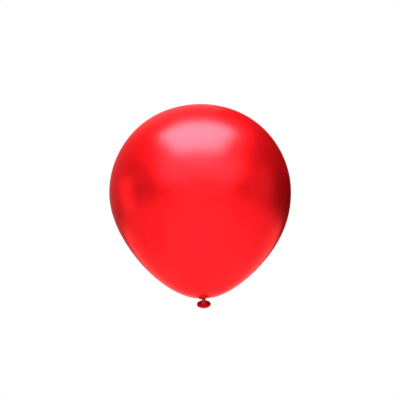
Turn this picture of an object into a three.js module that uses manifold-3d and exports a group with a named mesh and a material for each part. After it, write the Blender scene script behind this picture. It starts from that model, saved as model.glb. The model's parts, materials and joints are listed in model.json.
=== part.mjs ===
// A round latex balloon, blown up and tied off, with its crown up and its knotted neck below.
// Millimetres, +Z up. The origin is on the neck strand just under the knot, where a ribbon is tied.
// A real balloon is one dipped skin. Each zone of it that looks or moves differently is its own solid here.

import * as THREE from "three";
import { mergeVertices } from "three/addons/utils/BufferGeometryUtils.js";
import Module from "manifold-3d";

// ---- driving dimensions ----

const GAP = 0.3; // clearance between neighbouring solids

// Envelope: two half ellipses of revolution, the lower one drawn in towards the neck.
const BALLOON_DIAMETER = 290;
const CROWN_RISE = 139.6; // equator to crown
const NECK_DROP = 170.2; // equator to the lowest point that the film would reach with no dimple
const CROWN_FULLNESS = 0.05; // how much the shoulders swell past a true ellipse
const NECK_TAPER = 0.23; // how much the lower half is drawn in
const FILM_WALL = 0.3; // far thicker than real film, so that the solid can be meshed
const FILM_BOTTOM = 1.9; // where that lowest point would lie above the ribbon seat
const DIMPLE_RISE = 8; // the film is drawn up this much at the axis, round the knot
const DIMPLE_RADIUS = 7.5;
const MOUTH_RADIUS = 8.5; // where the thin film ends and the gathered throat begins

// Gathered neck and knot.
const COLLAR_WALL = 0.9;
const STRAND_RADIUS = 3.0; // the neck squeezed to a strand
const LOOP_HEIGHT = 2.9;
const LOOP_CENTRE_Z = 3.4;
const LOOP_SIDE = 4.3; // radial thickness of the knot's loop at its left and right lobes
const LOOP_FRONT = 2.0; // and at its front and back
const LOOP_SLANT = THREE.MathUtils.degToRad(4);

// Tail: a short strand that sways, then a flared mouth that nods back.
const SWAY_PIVOT = new THREE.Vector3(0, 0, -2.0);
const NOD_PIVOT = new THREE.Vector3(0, 0, -4.4);
const BALL_RADIUS = 2.7; // rounded strand ends, centred on the pivots
const RIM_HEIGHT = 1.35; // the socket round a rounded end reaches this close to its pivot
const MOUTH_LEAN = THREE.MathUtils.degToRad(35);
const LIP_RING_RADIUS = 9.7;
const LIP_BEAD_RADIUS = 1.4;
const LIP_DROP = 2.8; // nod pivot to the plane of the lip
const FLARE_WALL = 0.7;

// Fineness of the round surfaces.
const ENVELOPE_SEGMENTS = 44;
const CROWN_RINGS = 13;
const NECK_RINGS = 18;
const SMALL_SEGMENTS = 28;

// ---- materials ----

const pearlFilm = new THREE.MeshStandardMaterial({ color: 0xf01226, roughness: 0.38, metalness: 0.25 });
const denseLatex = new THREE.MeshStandardMaterial({ color: 0xa80612, roughness: 0.42, metalness: 0.05 });

// ---- shape helpers ----

// A solid of revolution about +Z from [radius, height] pairs.
function revolve(profile, segments) {
  const points = profile.map(([r, z]) => new THREE.Vector2(r, z));
  return new THREE.LatheGeometry(points, segments).rotateX(Math.PI / 2);
}

const wasm = await Module();
wasm.setup();

function toSolid(geometry) {
  const bare = geometry.index ? geometry.toNonIndexed() : geometry.clone();
  bare.deleteAttribute("normal");
  bare.deleteAttribute("uv");
  const merged = mergeVertices(bare, 1e-3);
  return new wasm.Manifold(
    new wasm.Mesh({
      numProp: 3,
      vertProperties: merged.getAttribute("position").array,
      triVerts: new Uint32Array(merged.index.array),
    }),
  );
}

function toGeometry(solid) {
  const mesh = solid.getMesh();
  return new THREE.BufferGeometry()
    .setAttribute("position", new THREE.BufferAttribute(mesh.vertProperties, 3))
    .setIndex(new THREE.BufferAttribute(mesh.triVerts, 1));
}

function ball(radius, centre) {
  return new THREE.SphereGeometry(radius, SMALL_SEGMENTS, 16).translate(centre.x, centre.y, centre.z);
}

function named(name, geometry, material) {
  const mesh = new THREE.Mesh(geometry, material);
  mesh.name = name;
  return mesh;
}

// ---- envelope ----

const equatorZ = FILM_BOTTOM + NECK_DROP;

// Outline of the film at a latitude, 90 degrees at the crown, drawn in by inset for the inner face.
function filmPoint(latitude, inset) {
  const s = Math.sin(latitude);
  const radius = BALLOON_DIAMETER / 2 - inset;
  if (latitude >= 0) {
    const shoulder = 1 + CROWN_FULLNESS * s ** 4;
    return [radius * Math.cos(latitude) * shoulder, equatorZ + (CROWN_RISE - inset) * s];
  }
  const r = radius * Math.cos(latitude) * (1 - NECK_TAPER * s ** 2);
  const dimple = DIMPLE_RISE * Math.exp(-((r / DIMPLE_RADIUS) ** 2));
  return [r, equatorZ + (NECK_DROP - inset) * s + dimple];
}

// The latitude where the lower film has closed in to a radius, by halving.
function latitudeAtRadius(radius) {
  let low = -Math.PI / 2;
  let high = 0;
  for (let i = 0; i < 40; i++) {
    const middle = (low + high) / 2;
    if (filmPoint(middle, 0)[0] < radius) low = middle;
    else high = middle;
  }
  return high;
}

const mouthLatitude = latitudeAtRadius(MOUTH_RADIUS);
const mouthZ = filmPoint(mouthLatitude, 0)[1];

function makeEnvelope() {
  const latitudes = [];
  for (let i = 0; i < CROWN_RINGS; i++) latitudes.push((Math.PI / 2) * (1 - i / CROWN_RINGS));
  for (let i = 0; i <= NECK_RINGS; i++) {
    const share = Math.sin(((Math.PI / 2) * i) / NECK_RINGS); // the rings bunch towards the mouth
    latitudes.push(mouthLatitude * share);
  }
  const outer = latitudes.map((latitude) => filmPoint(latitude, 0));
  const inner = latitudes.map((latitude) => filmPoint(latitude, FILM_WALL));
  outer[0][0] = 0;
  inner[0][0] = 0;
  return named("envelope", revolve([...inner, ...outer.reverse()], ENVELOPE_SEGMENTS), pearlFilm);
}

// ---- throat collar: the gathered film at the root of the neck, which closes the film's mouth ----

const collarRimRadius = MOUTH_RADIUS - GAP;
const collarZ = mouthZ + 1.05; // underside of the collar, above the knot
const strandTopZ = collarZ - 0.4;

function makeThroatCollar() {
  const profile = [
    [0, strandTopZ],
    [STRAND_RADIUS, strandTopZ],
    [STRAND_RADIUS + 0.8, collarZ],
    [5, collarZ],
    [collarRimRadius, mouthZ],
    [collarRimRadius, mouthZ + 0.7 * COLLAR_WALL],
    [5, collarZ + COLLAR_WALL],
    [2.4, collarZ + 1.3 * COLLAR_WALL],
    [0, collarZ + 0.6 * COLLAR_WALL],
  ];
  return named("throat_collar", revolve(profile, SMALL_SEGMENTS), pearlFilm);
}

// ---- knot: one loop of neck drawn tight round the strand, wide at its side lobes ----

function makeKnotLoop() {
  const around = 32;
  const section = 12;
  const holeRadius = STRAND_RADIUS + GAP;
  const positions = [];
  const index = [];
  for (let i = 0; i < around; i++) {
    const turn = (2 * Math.PI * i) / around;
    const side = Math.cos(turn) ** 2;
    const thick = LOOP_FRONT + (LOOP_SIDE - LOOP_FRONT) * side;
    for (let j = 0; j < section; j++) {
      const a = (2 * Math.PI * j) / section;
      const out = 0.5 - 0.5 * Math.cos(a);
      const r = holeRadius + thick * out;
      const taper = 1 - 0.45 * side * out; // the lobes narrow outwards
      positions.push(r * Math.cos(turn), r * Math.sin(turn), (LOOP_HEIGHT / 2) * taper * Math.sin(a));
      const here = i * section + j;
      const nextJ = i * section + ((j + 1) % section);
      const nextI = ((i + 1) % around) * section + j;
      const nextBoth = ((i + 1) % around) * section + ((j + 1) % section);
      index.push(here, nextJ, nextI, nextI, nextJ, nextBoth);
    }
  }
  const geometry = new THREE.BufferGeometry()
    .setAttribute("position", new THREE.Float32BufferAttribute(positions, 3))
    .setIndex(index);
  const mesh = named("knot_loop", geometry, denseLatex);
  mesh.position.z = LOOP_CENTRE_Z;
  mesh.rotation.y = -LOOP_SLANT;
  return mesh;
}

// ---- neck strand: runs from the collar through the loop, and the ribbon ties round its lower end ----

function makeNeckStrand() {
  const top = strandTopZ - GAP;
  const profile = [
    [0, SWAY_PIVOT.z + RIM_HEIGHT],
    [STRAND_RADIUS, SWAY_PIVOT.z + RIM_HEIGHT],
    [STRAND_RADIUS, top],
    [0, top],
  ];
  const socket = toSolid(ball(BALL_RADIUS + GAP, SWAY_PIVOT));
  const strand = toSolid(revolve(profile, SMALL_SEGMENTS)).subtract(socket);
  return named("neck_strand", toGeometry(strand), denseLatex);
}

// ---- tail strand: rounded on the sway pivot above, and hollowed round the nod pivot below ----

// The upper arc of a rounded end, from its top down to the given angle.
function ballArc(centreZ, angleDegrees, steps) {
  const points = [[0, centreZ + BALL_RADIUS]];
  for (let i = 1; i <= steps; i++) {
    const a = THREE.MathUtils.degToRad((angleDegrees * i) / steps);
    points.push([BALL_RADIUS * Math.sin(a), centreZ + BALL_RADIUS * Math.cos(a)]);
  }
  return points;
}

function makeTailStrand() {
  const bottom = NOD_PIVOT.z + RIM_HEIGHT;
  const profile = [
    ...ballArc(SWAY_PIVOT.z, 80, 8),
    [STRAND_RADIUS, SWAY_PIVOT.z - 0.6],
    [STRAND_RADIUS, bottom],
    [0, bottom],
  ];
  const socket = toSolid(ball(BALL_RADIUS + GAP, NOD_PIVOT));
  const strand = toSolid(revolve(profile.reverse(), SMALL_SEGMENTS)).subtract(socket);
  return named("tail_strand", toGeometry(strand), denseLatex);
}

// ---- tail flare: opens from the nod pivot like a trumpet; its frame has the pivot at its origin ----

function makeTailFlare() {
  const outside = [
    [2.5, -1.9],
    [3.8, -2.2],
    [5.6, -2.35],
    [8.0, -2.45],
  ];
  const inside = [
    [8.0, -2.45 - FLARE_WALL],
    [5.4, -3.0],
    [3.4, -2.8],
    [1.9, -2.4],
    [0.9, -1.7],
    [0, -1.5],
  ];
  const profile = [...ballArc(0, 130, 9), ...outside, ...inside];
  return named("tail_flare", revolve(profile.reverse(), SMALL_SEGMENTS), denseLatex);
}

// ---- rolled lip: the bead at the mouth ----

function makeRolledLip() {
  const bead = new THREE.TorusGeometry(LIP_RING_RADIUS, LIP_BEAD_RADIUS, 12, 40);
  return named("rolled_lip", bead.translate(0, 0, -LIP_DROP), denseLatex);
}

// ---- assembly ----

const mouth = new THREE.Group();
mouth.position.copy(NOD_PIVOT);
mouth.rotation.x = MOUTH_LEAN;
mouth.add(makeTailFlare(), makeRolledLip());

const balloon = new THREE.Group();
balloon.add(makeEnvelope(), makeThroatCollar(), makeKnotLoop(), makeNeckStrand(), makeTailStrand(), mouth);

export default balloon;
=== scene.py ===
"""A round pearl latex balloon, blown up and tied: its skin, knot and tail, drawn over the CAD frame.

Each piece is drawn in millimetres, and scaled by MM as its mesh is made. The camera, the lights
and the floor are in metres.
"""

import json
import math

import bmesh
import bpy
import numpy as np
from mathutils import Matrix, Vector


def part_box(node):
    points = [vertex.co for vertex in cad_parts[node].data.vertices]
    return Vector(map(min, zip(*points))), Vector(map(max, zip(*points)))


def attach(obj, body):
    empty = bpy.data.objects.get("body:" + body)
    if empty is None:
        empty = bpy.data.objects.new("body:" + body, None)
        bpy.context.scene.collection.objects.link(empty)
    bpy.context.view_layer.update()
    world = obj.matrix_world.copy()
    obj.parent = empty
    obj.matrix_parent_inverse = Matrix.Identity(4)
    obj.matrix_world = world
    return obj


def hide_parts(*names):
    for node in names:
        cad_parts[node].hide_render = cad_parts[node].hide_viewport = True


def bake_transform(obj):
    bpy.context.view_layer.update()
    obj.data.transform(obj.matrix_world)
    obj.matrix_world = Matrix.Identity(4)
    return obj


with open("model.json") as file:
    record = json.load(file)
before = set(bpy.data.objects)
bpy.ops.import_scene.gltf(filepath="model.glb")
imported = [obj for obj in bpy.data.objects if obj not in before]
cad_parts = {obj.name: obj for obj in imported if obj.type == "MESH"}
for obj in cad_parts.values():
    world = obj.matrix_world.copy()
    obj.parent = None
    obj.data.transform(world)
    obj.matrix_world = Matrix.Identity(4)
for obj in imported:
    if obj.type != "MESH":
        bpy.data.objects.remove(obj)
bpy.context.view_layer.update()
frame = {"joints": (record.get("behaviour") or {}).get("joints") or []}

MM = 0.001
TURN = 2 * math.pi
QUARTER_TURN = math.pi / 2

# ---- sizes, from the frame where it has them ----

film_low, film_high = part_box("envelope")
RADIUS_MM = (film_high.x - film_low.x) / 2 / MM
CROWN_MM = film_high.z / MM
pivots_mm = {joint["name"]: Vector(joint["pos_m"]) / MM for joint in frame["joints"]}
SWAY_Z_MM = pivots_mm["tail_sway"].z
NOD_Z_MM = pivots_mm["tail_nod"].z

# Film outline, the same formula as the frame's.
CROWN_RISE_MM = 139.6  # equator to crown
NECK_DROP_MM = 170.2  # equator to the lowest point that the film would reach with no dimple
CROWN_FULLNESS = 0.05  # how much the shoulders swell past a true ellipse
NECK_TAPER = 0.23  # how much the lower half is drawn in
DIMPLE_RISE_MM = 8.0  # the film is drawn up this much at the axis, round the knot
DIMPLE_RADIUS_MM = 7.5
EQUATOR_MM = CROWN_MM - CROWN_RISE_MM
BELLY_LEAN_MM = 1.8  # the blown film sits a little to +X below its widest place

# How the film gathers into pleats round the knot, and where it is least stretched.
NECK_ROOT_MM = 8  # radius inside which the film is fully gathered
PLEAT_MM = 0.42
PLEAT_FADE_MM = 7
RELAXED_FADE_MM = 9
CROWN_SPOT = 0.12  # 0 would be blown film, and 1 unstretched
CROWN_SPOT_MM = 16

# Throat: the gathered ring between the film and the knot.
THROAT_RIM_MM = 9.6
THROAT_HOLE_MM = 2.4
THROAT_WALL_MM = 0.5

# Knot: the neck's centre line, down the middle, once round, and out below.
KNOT_PATH_MM = [
    (0.0, 0.0, 8.8),
    (0.0, 0.3, 6.6),
    (1.4, 1.7, 4.9),
    (4.4, 2.3, 4.1),
    (6.1, 0.0, 3.8),
    (4.2, -2.4, 3.6),
    (0.3, -3.4, 3.3),
    (-4.1, -2.4, 3.1),
    (-6.1, 0.1, 2.8),
    (-4.2, 2.3, 2.8),
    (-0.8, 2.0, 2.5),
    (0.3, 0.7, 1.5),
    (0.0, 0.0, 0.2),
]
KNOT_STRAND_MM = 2.6  # radius of the neck where it enters and leaves
LOOP_THICK_MM = 1.5  # half the loop's thickness, outwards
LOOP_TALL_MM = 1.3  # half its height
KNOT_VOXEL_MM = 0.13

# Tail.
STRAND_MM = 3.1  # radius of the squeezed neck
NECK_TOP_MM = 3.2  # inside the knot
SEAM_MM = (SWAY_Z_MM + NOD_Z_MM) / 2  # where the neck's skin meets the flare's
SEAM_LAP_MM = 0.15  # each skin runs this far past the seam, to hide inside the other
SEAM_SHRINK = 0.9
MOUTH_LEAN = math.radians(35)
MOUTH_AXIS = Vector((0, math.sin(MOUTH_LEAN), -math.cos(MOUTH_LEAN)))
FLARE_LENGTH_MM = 4.0
FLARE_STEPS = 60
FLARE_STRAIGHT_MM = 0.1
FLARE_BEND_MM = 1.8
PUCKER_MM = 0.25  # radius to which the inside closes

# Rolled lip.
LIP_RING_MM = 9.7  # radius of the ring
LIP_BEAD_MM = 1.4  # radius of the bead's own section
LIP_DROP_MM = 2.8  # nod pivot to the plane of the lip
LIP_CENTRE_MM = np.array([0.0, 0.0, NOD_Z_MM]) + np.array(MOUTH_AXIS) * LIP_DROP_MM
GROOVE_MM = 0.16
GROOVE_ANGLE = 3.9  # round the bead's section, in radians, as is the width
GROOVE_WIDTH = 0.22


# ---- mesh helpers ----


def smooth(x):
    """0 below 0, 1 above 1, and an even ease between."""
    x = np.clip(x, 0, 1)
    return x * x * (3 - 2 * x)


def evenly_round(count):
    """The angles of points spaced evenly round a ring."""
    return np.arange(count) * TURN / count


def folds(angle):
    """Uneven gathers round the neck, about -1 to 1. Every gathered piece uses them, so they line up."""
    wide = 0.5 * np.cos(11 * angle + 0.4)
    middling = 0.3 * np.cos(17 * angle + 2.1)
    narrow = 0.2 * np.cos(26 * angle + 4.0)
    return wide + middling + narrow


def face_outwards(mesh):
    shell = bmesh.new()
    shell.from_mesh(mesh)
    bmesh.ops.recalc_face_normals(shell, faces=shell.faces)
    shell.to_mesh(mesh)
    shell.free()


def shade_smooth(mesh):
    for polygon in mesh.polygons:
        polygon.use_smooth = True


def ring_mesh(name, rings, closed_ring=False):
    """A smooth piece from rings of points in mm, each an (n, 3) array.

    A point closes each end, unless closed_ring joins the last ring to the first.
    """
    rings = [np.asarray(ring, float) for ring in rings]
    n = len(rings[0])
    points = list(np.concatenate(rings))
    faces = []
    steps = len(rings) if closed_ring else len(rings) - 1
    for i in range(steps):
        a = i * n
        b = ((i + 1) % len(rings)) * n
        for j in range(n):
            k = (j + 1) % n
            faces.append((a + j, a + k, b + k, b + j))
    if not closed_ring:
        first_pole = len(points)
        last_pole = first_pole + 1
        last = (len(rings) - 1) * n
        points += [rings[0].mean(0), rings[-1].mean(0)]
        faces += [(first_pole, (j + 1) % n, j) for j in range(n)]
        faces += [(last_pole, last + j, last + (j + 1) % n) for j in range(n)]
    mesh = bpy.data.meshes.new(name)
    mesh.from_pydata([tuple(p * MM) for p in points], [], faces)
    mesh.validate()
    face_outwards(mesh)
    shade_smooth(mesh)
    piece = bpy.data.objects.new(name, mesh)
    bpy.context.scene.collection.objects.link(piece)
    return piece


def round_ring(radius, z, angles):
    """A ring about the balloon's axis. Its radius and its height may vary with the angle."""
    radius = np.broadcast_to(radius, angles.shape)
    z = np.broadcast_to(z, angles.shape)
    return np.stack([radius * np.cos(angles), radius * np.sin(angles), z], 1)


def leaning_ring(centre, radius, lean, angles):
    """A ring about a centre, tipped back by an angle about the X axis."""
    back = [0, math.cos(lean), math.sin(lean)]
    across = np.outer(radius * np.cos(angles), [1, 0, 0])
    return centre + across + np.outer(radius * np.sin(angles), back)


def path_sides_and_ups(points):
    """Side and up at each point of a path. Side stays level, so a flat strand stands on edge."""
    tangents = np.gradient(points, axis=0)
    tangents /= np.linalg.norm(tangents, axis=1)[:, None]
    sides = np.cross(np.array([0.0, 0.0, 1.0]), tangents)
    lengths = np.linalg.norm(sides, axis=1)
    nearly_upright = 0.25
    for i in range(1, len(sides)):
        if lengths[i] < nearly_upright:
            sides[i] = sides[i - 1]
    sides /= np.linalg.norm(sides, axis=1)[:, None]
    return sides, np.cross(tangents, sides)


def spline(points, steps):
    """A Catmull-Rom curve through the points."""
    points = np.asarray(points, float)
    padded = np.concatenate([[2 * points[0] - points[1]], points, [2 * points[-1] - points[-2]]])
    curve = []
    for i in range(1, len(padded) - 2):
        a, b, c, d = padded[i - 1 : i + 3]
        for t in np.arange(steps) / steps:
            square = (2 * a - 5 * b + 4 * c - d) * t**2
            cube = (3 * b - a - 3 * c + d) * t**3
            curve.append(0.5 * (2 * b + (c - a) * t + square + cube))
    curve.append(points[-1])
    return np.array(curve)


def apply_modifiers(piece):
    """Bakes a piece's modifiers into its mesh."""
    graph = bpy.context.evaluated_depsgraph_get()
    mesh = bpy.data.meshes.new_from_object(piece.evaluated_get(graph))
    piece.modifiers.clear()
    piece.data = mesh
    shade_smooth(mesh)


# ---- camera, before any piece ----


def make_camera():
    """Looks slightly up at the balloon, and leans a little to one side."""
    elevation = math.radians(-10)
    roll = math.radians(-1.9)
    distance = 1.511
    aim_side = -0.0006
    aim_below_equator_mm = 12.7
    target = Vector((aim_side, 0, (EQUATOR_MM - aim_below_equator_mm) * MM))
    back = Vector((0, -math.cos(elevation), math.sin(elevation)))
    camera = bpy.data.objects.new("camera", bpy.data.cameras.new("camera"))
    bpy.context.scene.collection.objects.link(camera)
    camera.data.lens = 85
    camera.data.sensor_width = 36
    camera.location = target + back * distance
    aim = (-back).to_track_quat("-Z", "Y").to_matrix()
    camera.rotation_euler = (aim @ Matrix.Rotation(roll, 3, "Z")).to_euler()
    bpy.context.scene.camera = camera


# ---- materials ----

# Most of a noise texture's values lie between these two.
NOISE_LOW = 0.3
NOISE_HIGH = 0.7

PEARL_REDS = ((0.85, 0.005, 0.009), (0.89, 0.007, 0.012))
NECK_ROOT_RED = (0.42, 0.0005, 0.004)
DENSE_REDS = ((0.36, 0.0004, 0.003), (0.46, 0.0008, 0.005))


def new_material(name):
    material = bpy.data.materials.new(name)
    material.use_nodes = True
    tree = material.node_tree
    return material, tree, tree.nodes["Principled BSDF"]


def add_noise(tree, scale, detail):
    """A noise texture on the piece's own coordinates, in metres. Returns its value socket."""
    coordinates = tree.nodes.new("ShaderNodeTexCoord")
    noise = tree.nodes.new("ShaderNodeTexNoise")
    noise.inputs["Scale"].default_value = scale
    noise.inputs["Detail"].default_value = detail
    tree.links.new(coordinates.outputs["Object"], noise.inputs["Vector"])
    return noise.outputs["Fac"]


def add_ramp(tree, value, stops):
    """A colour ramp from (position, colour) stops. Returns its colour socket."""
    ramp = tree.nodes.new("ShaderNodeValToRGB")
    elements = ramp.color_ramp.elements
    for element, (position, colour) in ((elements[0], stops[0]), (elements[1], stops[-1])):
        element.position = position
        element.color = (*colour, 1)
    for position, colour in stops[1:-1]:
        element = elements.new(position)
        element.color = (*colour, 1)
    tree.links.new(value, ramp.inputs["Fac"])
    return ramp.outputs["Color"]


def add_range(tree, value, low, high, to_low, to_high):
    """Maps a value from one range to another, clamped. Returns its value socket."""
    node = tree.nodes.new("ShaderNodeMapRange")
    node.inputs["From Min"].default_value = low
    node.inputs["From Max"].default_value = high
    node.inputs["To Min"].default_value = to_low
    node.inputs["To Max"].default_value = to_high
    tree.links.new(value, node.inputs["Value"])
    return node.outputs["Result"]


def add_sum(tree, a, b):
    node = tree.nodes.new("ShaderNodeMath")
    node.operation = "ADD"
    tree.links.new(a, node.inputs[0])
    tree.links.new(b, node.inputs[1])
    return node.outputs["Value"]


def add_bump(tree, value, distance, strength):
    bump = tree.nodes.new("ShaderNodeBump")
    bump.inputs["Distance"].default_value = distance
    bump.inputs["Strength"].default_value = strength
    tree.links.new(value, bump.inputs["Height"])
    return bump.outputs["Normal"]


def mix_colours(tree, factor, a, b):
    """Mixes two colours, each a socket or an (r, g, b). Returns the colour socket."""
    node = tree.nodes.new("ShaderNodeMix")
    node.data_type = "RGBA"
    for name, value in (("A", a), ("B", b)):
        target = [s for s in node.inputs if s.name == name and s.type == "RGBA"][0]
        if isinstance(value, tuple):
            target.default_value = (*value, 1)
        else:
            tree.links.new(value, target)
    tree.links.new(factor, node.inputs["Factor"])
    return [s for s in node.outputs if s.type == "RGBA"][0]


def add_attribute(tree, name):
    node = tree.nodes.new("ShaderNodeAttribute")
    node.attribute_name = name
    return node.outputs["Fac"]


def pearl_film_material():
    """Thin pearl latex: red with a soft metallic sheen, duller and deeper where it is stretched least."""
    material, tree, shader = new_material("pearl_film")
    cloud = add_noise(tree, 28, 3)
    fine = add_noise(tree, 900, 2)
    relaxed = add_attribute(tree, "relaxed")
    body = add_ramp(tree, cloud, [(NOISE_LOW, PEARL_REDS[0]), (NOISE_HIGH, PEARL_REDS[1])])
    depth = add_range(tree, relaxed, 0.7, 1, 0, 0.6)
    tree.links.new(mix_colours(tree, depth, body, NECK_ROOT_RED), shader.inputs["Base Color"])
    cloudy = add_range(tree, cloud, NOISE_LOW, NOISE_HIGH, 0.29, 0.33)
    duller = add_range(tree, relaxed, 0, 1, 0, 0.25)
    tree.links.new(add_sum(tree, cloudy, duller), shader.inputs["Roughness"])
    tree.links.new(add_range(tree, relaxed, 0, 1, 0.88, 0.3), shader.inputs["Metallic"])
    tree.links.new(add_bump(tree, fine, 0.00003, 0.2), shader.inputs["Normal"])
    shader.inputs["Specular IOR Level"].default_value = 1.0
    shader.inputs["Specular Tint"].default_value = (1, 0.5, 0.5, 1)
    shader.inputs["Subsurface Weight"].default_value = 0.25
    shader.inputs["Subsurface Radius"].default_value = (1.0, 0.05, 0.05)
    shader.inputs["Subsurface Scale"].default_value = 0.05
    return material


def dense_latex_material():
    """Unstretched latex of the neck: the same pigment, thicker and darker, with a fine grain."""
    material, tree, shader = new_material("dense_latex")
    cloud = add_noise(tree, 260, 3)
    grain = add_noise(tree, 1800, 2)
    colour = add_ramp(tree, cloud, [(NOISE_LOW, DENSE_REDS[0]), (NOISE_HIGH, DENSE_REDS[1])])
    tree.links.new(colour, shader.inputs["Base Color"])
    roughness = add_range(tree, grain, NOISE_LOW, NOISE_HIGH, 0.34, 0.46)
    tree.links.new(roughness, shader.inputs["Roughness"])
    tree.links.new(add_bump(tree, grain, 0.00006, 0.25), shader.inputs["Normal"])
    shader.inputs["Specular IOR Level"].default_value = 0.25
    return material


# ---- film ----


def film_outline(latitude):
    """Radius and height of the film in mm at a latitude, 90 degrees at the crown."""
    s = math.sin(latitude)
    if latitude >= 0:
        shoulder = 1 + CROWN_FULLNESS * s**4
        return RADIUS_MM * math.cos(latitude) * shoulder, EQUATOR_MM + CROWN_RISE_MM * s
    radius = RADIUS_MM * math.cos(latitude) * (1 - NECK_TAPER * s**2)
    dimple = DIMPLE_RISE_MM * math.exp(-((radius / DIMPLE_RADIUS_MM) ** 2))
    return radius, EQUATOR_MM + NECK_DROP_MM * s + dimple


def film_height(radius):
    """Height of the lower film in mm at a radius near the neck, by halving."""
    low, high = -QUARTER_TURN, 0.0
    for _ in range(40):
        middle = (low + high) / 2
        if film_outline(middle)[0] < radius:
            low = middle
        else:
            high = middle
    return film_outline(high)[1]


def film_latitudes(above, below):
    """Latitudes of the film's rings, crown first. Those below the equator bunch towards the neck."""
    latitudes = list(np.linspace(QUARTER_TURN, 0, above)[1:])
    for i in range(1, below):
        latitudes.append(-QUARTER_TURN * math.sin(QUARTER_TURN * i / below))
    return latitudes


def set_relaxed(piece, ring_values, points_per_ring, poles=()):
    """How unstretched the latex is at each ring of a piece, from 0 on blown film to 1 at the neck."""
    values = np.concatenate([np.repeat(ring_values, points_per_ring), poles])
    piece.data.attributes.new("relaxed", "FLOAT", "POINT").data.foreach_set("value", values)


def make_film():
    """The blown skin, a little denser at its crown and gathered into pleats round the knot."""
    angles = evenly_round(240)
    rings = []
    relaxed = []
    for latitude in film_latitudes(above=90, below=150):
        radius, z = film_outline(latitude)
        if latitude > 0:
            pleat = 0
            relaxed.append(CROWN_SPOT * math.exp(-((radius / CROWN_SPOT_MM) ** 2)))
        else:
            outside_root = max(radius - NECK_ROOT_MM, 0)
            pleat = PLEAT_MM * math.exp(-outside_root / PLEAT_FADE_MM)
            relaxed.append(math.exp(-outside_root / RELAXED_FADE_MM))
        ring = round_ring(radius, z + pleat * folds(angles), angles)
        ring[:, 0] += BELLY_LEAN_MM * math.sin(math.pi * min(math.sin(latitude), 0)) ** 2
        rings.append(ring)
    film = ring_mesh("film", rings)
    set_relaxed(film, relaxed, len(angles), poles=[relaxed[0], relaxed[-1]])
    return film


# ---- throat ----


def make_throat():
    """The gathered ring that draws the film in to the knot: smooth at its rim, pleated at its hole."""
    angles = evenly_round(160)
    shares = np.linspace(0, 1, 22)
    under = []
    over = []
    for share in shares:
        radius = THROAT_RIM_MM + (THROAT_HOLE_MM - THROAT_RIM_MM) * share
        seat = film_height(radius) + 0.25 * (1 - share)
        hang = 0.55 * smooth(2 * share)
        pleats = (0.3 + 0.35 * share) * smooth(share / 0.3) * folds(angles)
        under.append(round_ring(radius, seat - hang + pleats, angles))
        over.append(round_ring(radius, seat + THROAT_WALL_MM, angles))
    throat = ring_mesh("throat", under + over[::-1], closed_ring=True)
    relaxed = 0.9 + 0.1 * shares
    set_relaxed(throat, np.concatenate([relaxed, relaxed[::-1]]), len(angles))
    return throat


# ---- knot ----


def make_knot():
    """An overhand knot in the neck, its turns fused where they press together."""
    path = spline(KNOT_PATH_MM, steps=14)
    sides, ups = path_sides_and_ups(path)
    angles = evenly_round(48)
    rings = []
    for i, centre in enumerate(path):
        share = i / (len(path) - 1)
        loop = smooth((share - 0.12) / 0.12) * smooth((0.9 - share) / 0.12)
        thick = KNOT_STRAND_MM + (LOOP_THICK_MM - KNOT_STRAND_MM) * loop
        tall = KNOT_STRAND_MM + (LOOP_TALL_MM - KNOT_STRAND_MM) * loop
        broad_crease = 0.07 * np.cos(7 * angles + 5 * share)
        fine_crease = 0.04 * np.cos(12 * angles - 9 * share + 1)
        crease = 1 + broad_crease + fine_crease
        sideways = np.outer(thick * crease * np.cos(angles), sides[i])
        upwards = np.outer(tall * crease * np.sin(angles), ups[i])
        rings.append(centre + sideways + upwards)
    knot = ring_mesh("knot", rings)
    fuse = knot.modifiers.new("fuse", "REMESH")
    fuse.mode = "VOXEL"
    fuse.voxel_size = KNOT_VOXEL_MM * MM
    relax = knot.modifiers.new("relax", "SMOOTH")
    relax.factor = 0.5
    relax.iterations = 3
    apply_modifiers(knot)
    return knot


# ---- tail ----


def strand_ring(z, angles, shrink=1.0):
    radius = STRAND_MM * shrink * (1 + 0.10 * folds(angles))
    return round_ring(radius, z, angles)


def make_neck():
    """The squeezed neck from inside the knot down to the seam between the two joints."""
    angles = evenly_round(96)
    rings = [strand_ring(z, angles) for z in np.linspace(NECK_TOP_MM, SEAM_MM, 30)]
    rings.append(strand_ring(SEAM_MM - SEAM_LAP_MM, angles, SEAM_SHRINK))
    return ring_mesh("neck", rings)


def flare_centre_line():
    """Centres and leans in fine steps from the seam: straight down, then bent back to the mouth's lean."""
    step = FLARE_LENGTH_MM / FLARE_STEPS
    centres = [np.array([0.0, 0.0, SEAM_MM])]
    leans = [0.0]
    for i in range(1, FLARE_STEPS + 1):
        bent = np.clip((i * step - FLARE_STRAIGHT_MM) / FLARE_BEND_MM, 0, 1)
        lean = bent * MOUTH_LEAN
        centres.append(centres[-1] + np.array([0, math.sin(lean), -math.cos(lean)]) * step)
        leans.append(lean)
    return centres, leans


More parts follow.
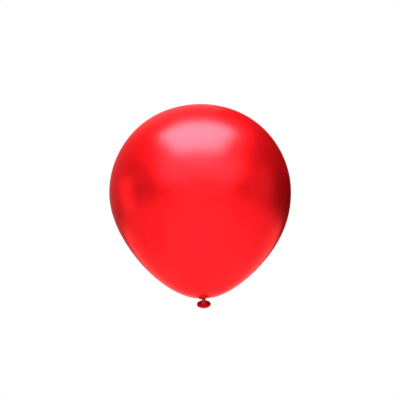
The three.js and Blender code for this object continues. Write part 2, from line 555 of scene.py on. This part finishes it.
def make_flare():
    """The neck opening out to its mouth: outside folds fading towards the lip, and a puckered inside."""
    angles = evenly_round(144)
    centres, leans = flare_centre_line()
    drift = LIP_CENTRE_MM - centres[-1]

    def flare_ring(share, radius, fold):
        i = int(round(share * FLARE_STEPS))
        centre = centres[i] + drift * smooth(share)
        return leaning_ring(centre, radius * (1 + fold * folds(angles)), leans[i], angles)

    def opening(share, start):
        return max(0, (share - start) / (1 - start))

    outer_start, outer_rim = 0.35, LIP_RING_MM - 1.0
    inner_start, inner_rim = 0.42, LIP_RING_MM - 1.5
    rings = [strand_ring(SEAM_MM + SEAM_LAP_MM, angles, SEAM_SHRINK)]
    for share in np.linspace(0, 1, 34):
        radius = STRAND_MM + (outer_rim - STRAND_MM) * opening(share, outer_start) ** 2.6
        rings.append(flare_ring(share, radius, 0.10 * (1 - share) + 0.012))
    for share in np.linspace(1, inner_start, 26)[1:]:
        radius = PUCKER_MM + (inner_rim - PUCKER_MM) * opening(share, inner_start) ** 1.6
        rings.append(flare_ring(share, radius, 0.16 * (1 - opening(share, inner_start))))
    return ring_mesh("flare", rings)


def make_lip():
    """The rolled bead: film wound on itself, a little uneven, with a groove along its inner side."""
    angles = evenly_round(200)
    ripple = 0.02 * np.cos(7 * angles + 1) + 0.01 * np.cos(16 * angles + 2)
    rings = []
    for a in evenly_round(28):
        groove = GROOVE_MM * math.exp(-(((a - GROOVE_ANGLE) / GROOVE_WIDTH) ** 2))
        bead = LIP_BEAD_MM * (1 + ripple) - groove
        ring = leaning_ring(LIP_CENTRE_MM, LIP_RING_MM + bead * math.cos(a), MOUTH_LEAN, angles)
        rings.append(ring - np.outer(bead * math.sin(a), MOUTH_AXIS))
    return ring_mesh("lip", rings, closed_ring=True)


# ---- studio ----


def add_light(name, location, size, power, target=None):
    """A soft rectangular light, aimed at the middle of the balloon if it has no target of its own."""
    data = bpy.data.lights.new(name, "AREA")
    data.shape = "RECTANGLE"
    data.size, data.size_y = size
    data.energy = power
    light = bpy.data.objects.new(name, data)
    bpy.context.scene.collection.objects.link(light)
    light.location = location
    aim = Vector(target or (0, 0, EQUATOR_MM * MM)) - Vector(location)
    light.rotation_euler = aim.to_track_quat("-Z", "Y").to_euler()
    light.visible_camera = False


def light_studio():
    """Each light's place, its width and height, and its power in watts."""
    add_light("overhead_softbox", (-0.02, -0.58, 1.07), (1.16, 0.93), 95, target=(-0.02, -0.58, 0))
    add_light("front_panel", (0.03, -1.2, 0.68), (2.7, 0.9), 27)
    add_light("front_fill", (0.0, -1.29, 0.0), (1.8, 0.52), 3.2)
    add_light("left_strip", (-1.09, 0.17, 0.2), (0.5, 0.55), 0.8)
    add_light("left_back_panel", (-0.75, 0.95, 0.6), (1.4, 1.1), 1.3)
    add_light("right_panel", (1.05, -0.3, 0.3), (0.95, 0.65), 0.8)
    add_light("back_card", (0.0, 0.6, -0.22), (2.0, 0.5), 1.8)
    add_light("under_card", (0.0, 0.1, -0.27), (0.7, 0.4), 0.5)
    add_light("back_panel", (-0.2, 0.7, 1.2), (0.9, 0.7), 1.8)


def grey(level):
    return (level, level, level)


def make_world():
    """White to the camera. To the balloon: a lit ground, and a room that darkens towards +X."""
    world = bpy.data.worlds.new("studio")
    bpy.context.scene.world = world
    world.use_nodes = True
    tree = world.node_tree
    nodes, links = tree.nodes, tree.links
    background = nodes["Background"]
    background.inputs["Color"].default_value = (*grey(1), 1)
    room = nodes.new("ShaderNodeBackground")
    coordinates = nodes.new("ShaderNodeTexCoord")
    split = nodes.new("ShaderNodeSeparateXYZ")
    links.new(coordinates.outputs["Generated"], split.inputs["Vector"])
    across = add_range(tree, split.outputs["X"], -1, 1, 0, 1)
    walls = add_ramp(tree, across, [(0.0, grey(0.22)), (0.5, grey(0.07)), (0.75, grey(0.01))])
    ground = add_range(tree, split.outputs["Z"], -0.32, -0.07, 1, 0)
    links.new(mix_colours(tree, ground, walls, grey(1.05)), room.inputs["Color"])
    path = nodes.new("ShaderNodeLightPath")
    mix = nodes.new("ShaderNodeMixShader")
    links.new(path.outputs["Is Camera Ray"], mix.inputs["Fac"])
    links.new(room.outputs["Background"], mix.inputs[1])
    links.new(background.outputs["Background"], mix.inputs[2])
    links.new(mix.outputs["Shader"], nodes["World Output"].inputs["Surface"])


def make_floor():
    """A round floor that fades out, well inside its edge, into the white of the world."""
    floor_z = -0.30
    fade_start = 0.3
    fade_end = 1.4
    bpy.ops.mesh.primitive_circle_add(vertices=96, radius=3, fill_type="NGON", location=(0, 0, floor_z))
    floor = bpy.context.object
    floor.name = "floor"
    material, tree, shader = new_material("floor")
    shader.inputs["Base Color"].default_value = (*grey(0.35), 1)
    shader.inputs["Roughness"].default_value = 0.7
    clear = tree.nodes.new("ShaderNodeBsdfTransparent")
    coordinates = tree.nodes.new("ShaderNodeTexCoord")
    distance = tree.nodes.new("ShaderNodeVectorMath")
    distance.operation = "LENGTH"
    tree.links.new(coordinates.outputs["Object"], distance.inputs[0])
    fade = add_range(tree, distance.outputs["Value"], fade_start, fade_end, 0, 1)
    mix = tree.nodes.new("ShaderNodeMixShader")
    tree.links.new(fade, mix.inputs["Fac"])
    tree.links.new(shader.outputs["BSDF"], mix.inputs[1])
    tree.links.new(clear.outputs["BSDF"], mix.inputs[2])
    tree.links.new(mix.outputs["Shader"], tree.nodes["Material Output"].inputs["Surface"])
    floor.data.materials.append(material)


# ---- the pieces, on their bodies ----

make_camera()

pearl = pearl_film_material()
latex = dense_latex_material()

film = make_film()
throat = make_throat()
knot = make_knot()
neck = make_neck()
flare = make_flare()
lip = make_lip()

for piece, material, slot in (
    (film, pearl, "pearl_film"),
    (throat, pearl, "pearl_film"),
    (knot, latex, "dense_latex"),
    (neck, latex, "dense_latex"),
    (flare, latex, "dense_latex"),
    (lip, latex, "dense_latex"),
):
    piece.data.materials.append(material)

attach(film, "balloon")
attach(throat, "balloon")
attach(knot, "balloon")
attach(lip, "tail_mouth")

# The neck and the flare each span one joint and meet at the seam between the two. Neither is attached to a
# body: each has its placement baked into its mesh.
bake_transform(neck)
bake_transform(flare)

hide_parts("envelope")
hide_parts("throat_collar")
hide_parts("knot_loop")
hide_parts("neck_strand", "tail_strand")
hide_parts("tail_flare")
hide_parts("rolled_lip")

make_world()
make_floor()
light_studio()
bpy.context.scene.view_settings.view_transform = "Standard"
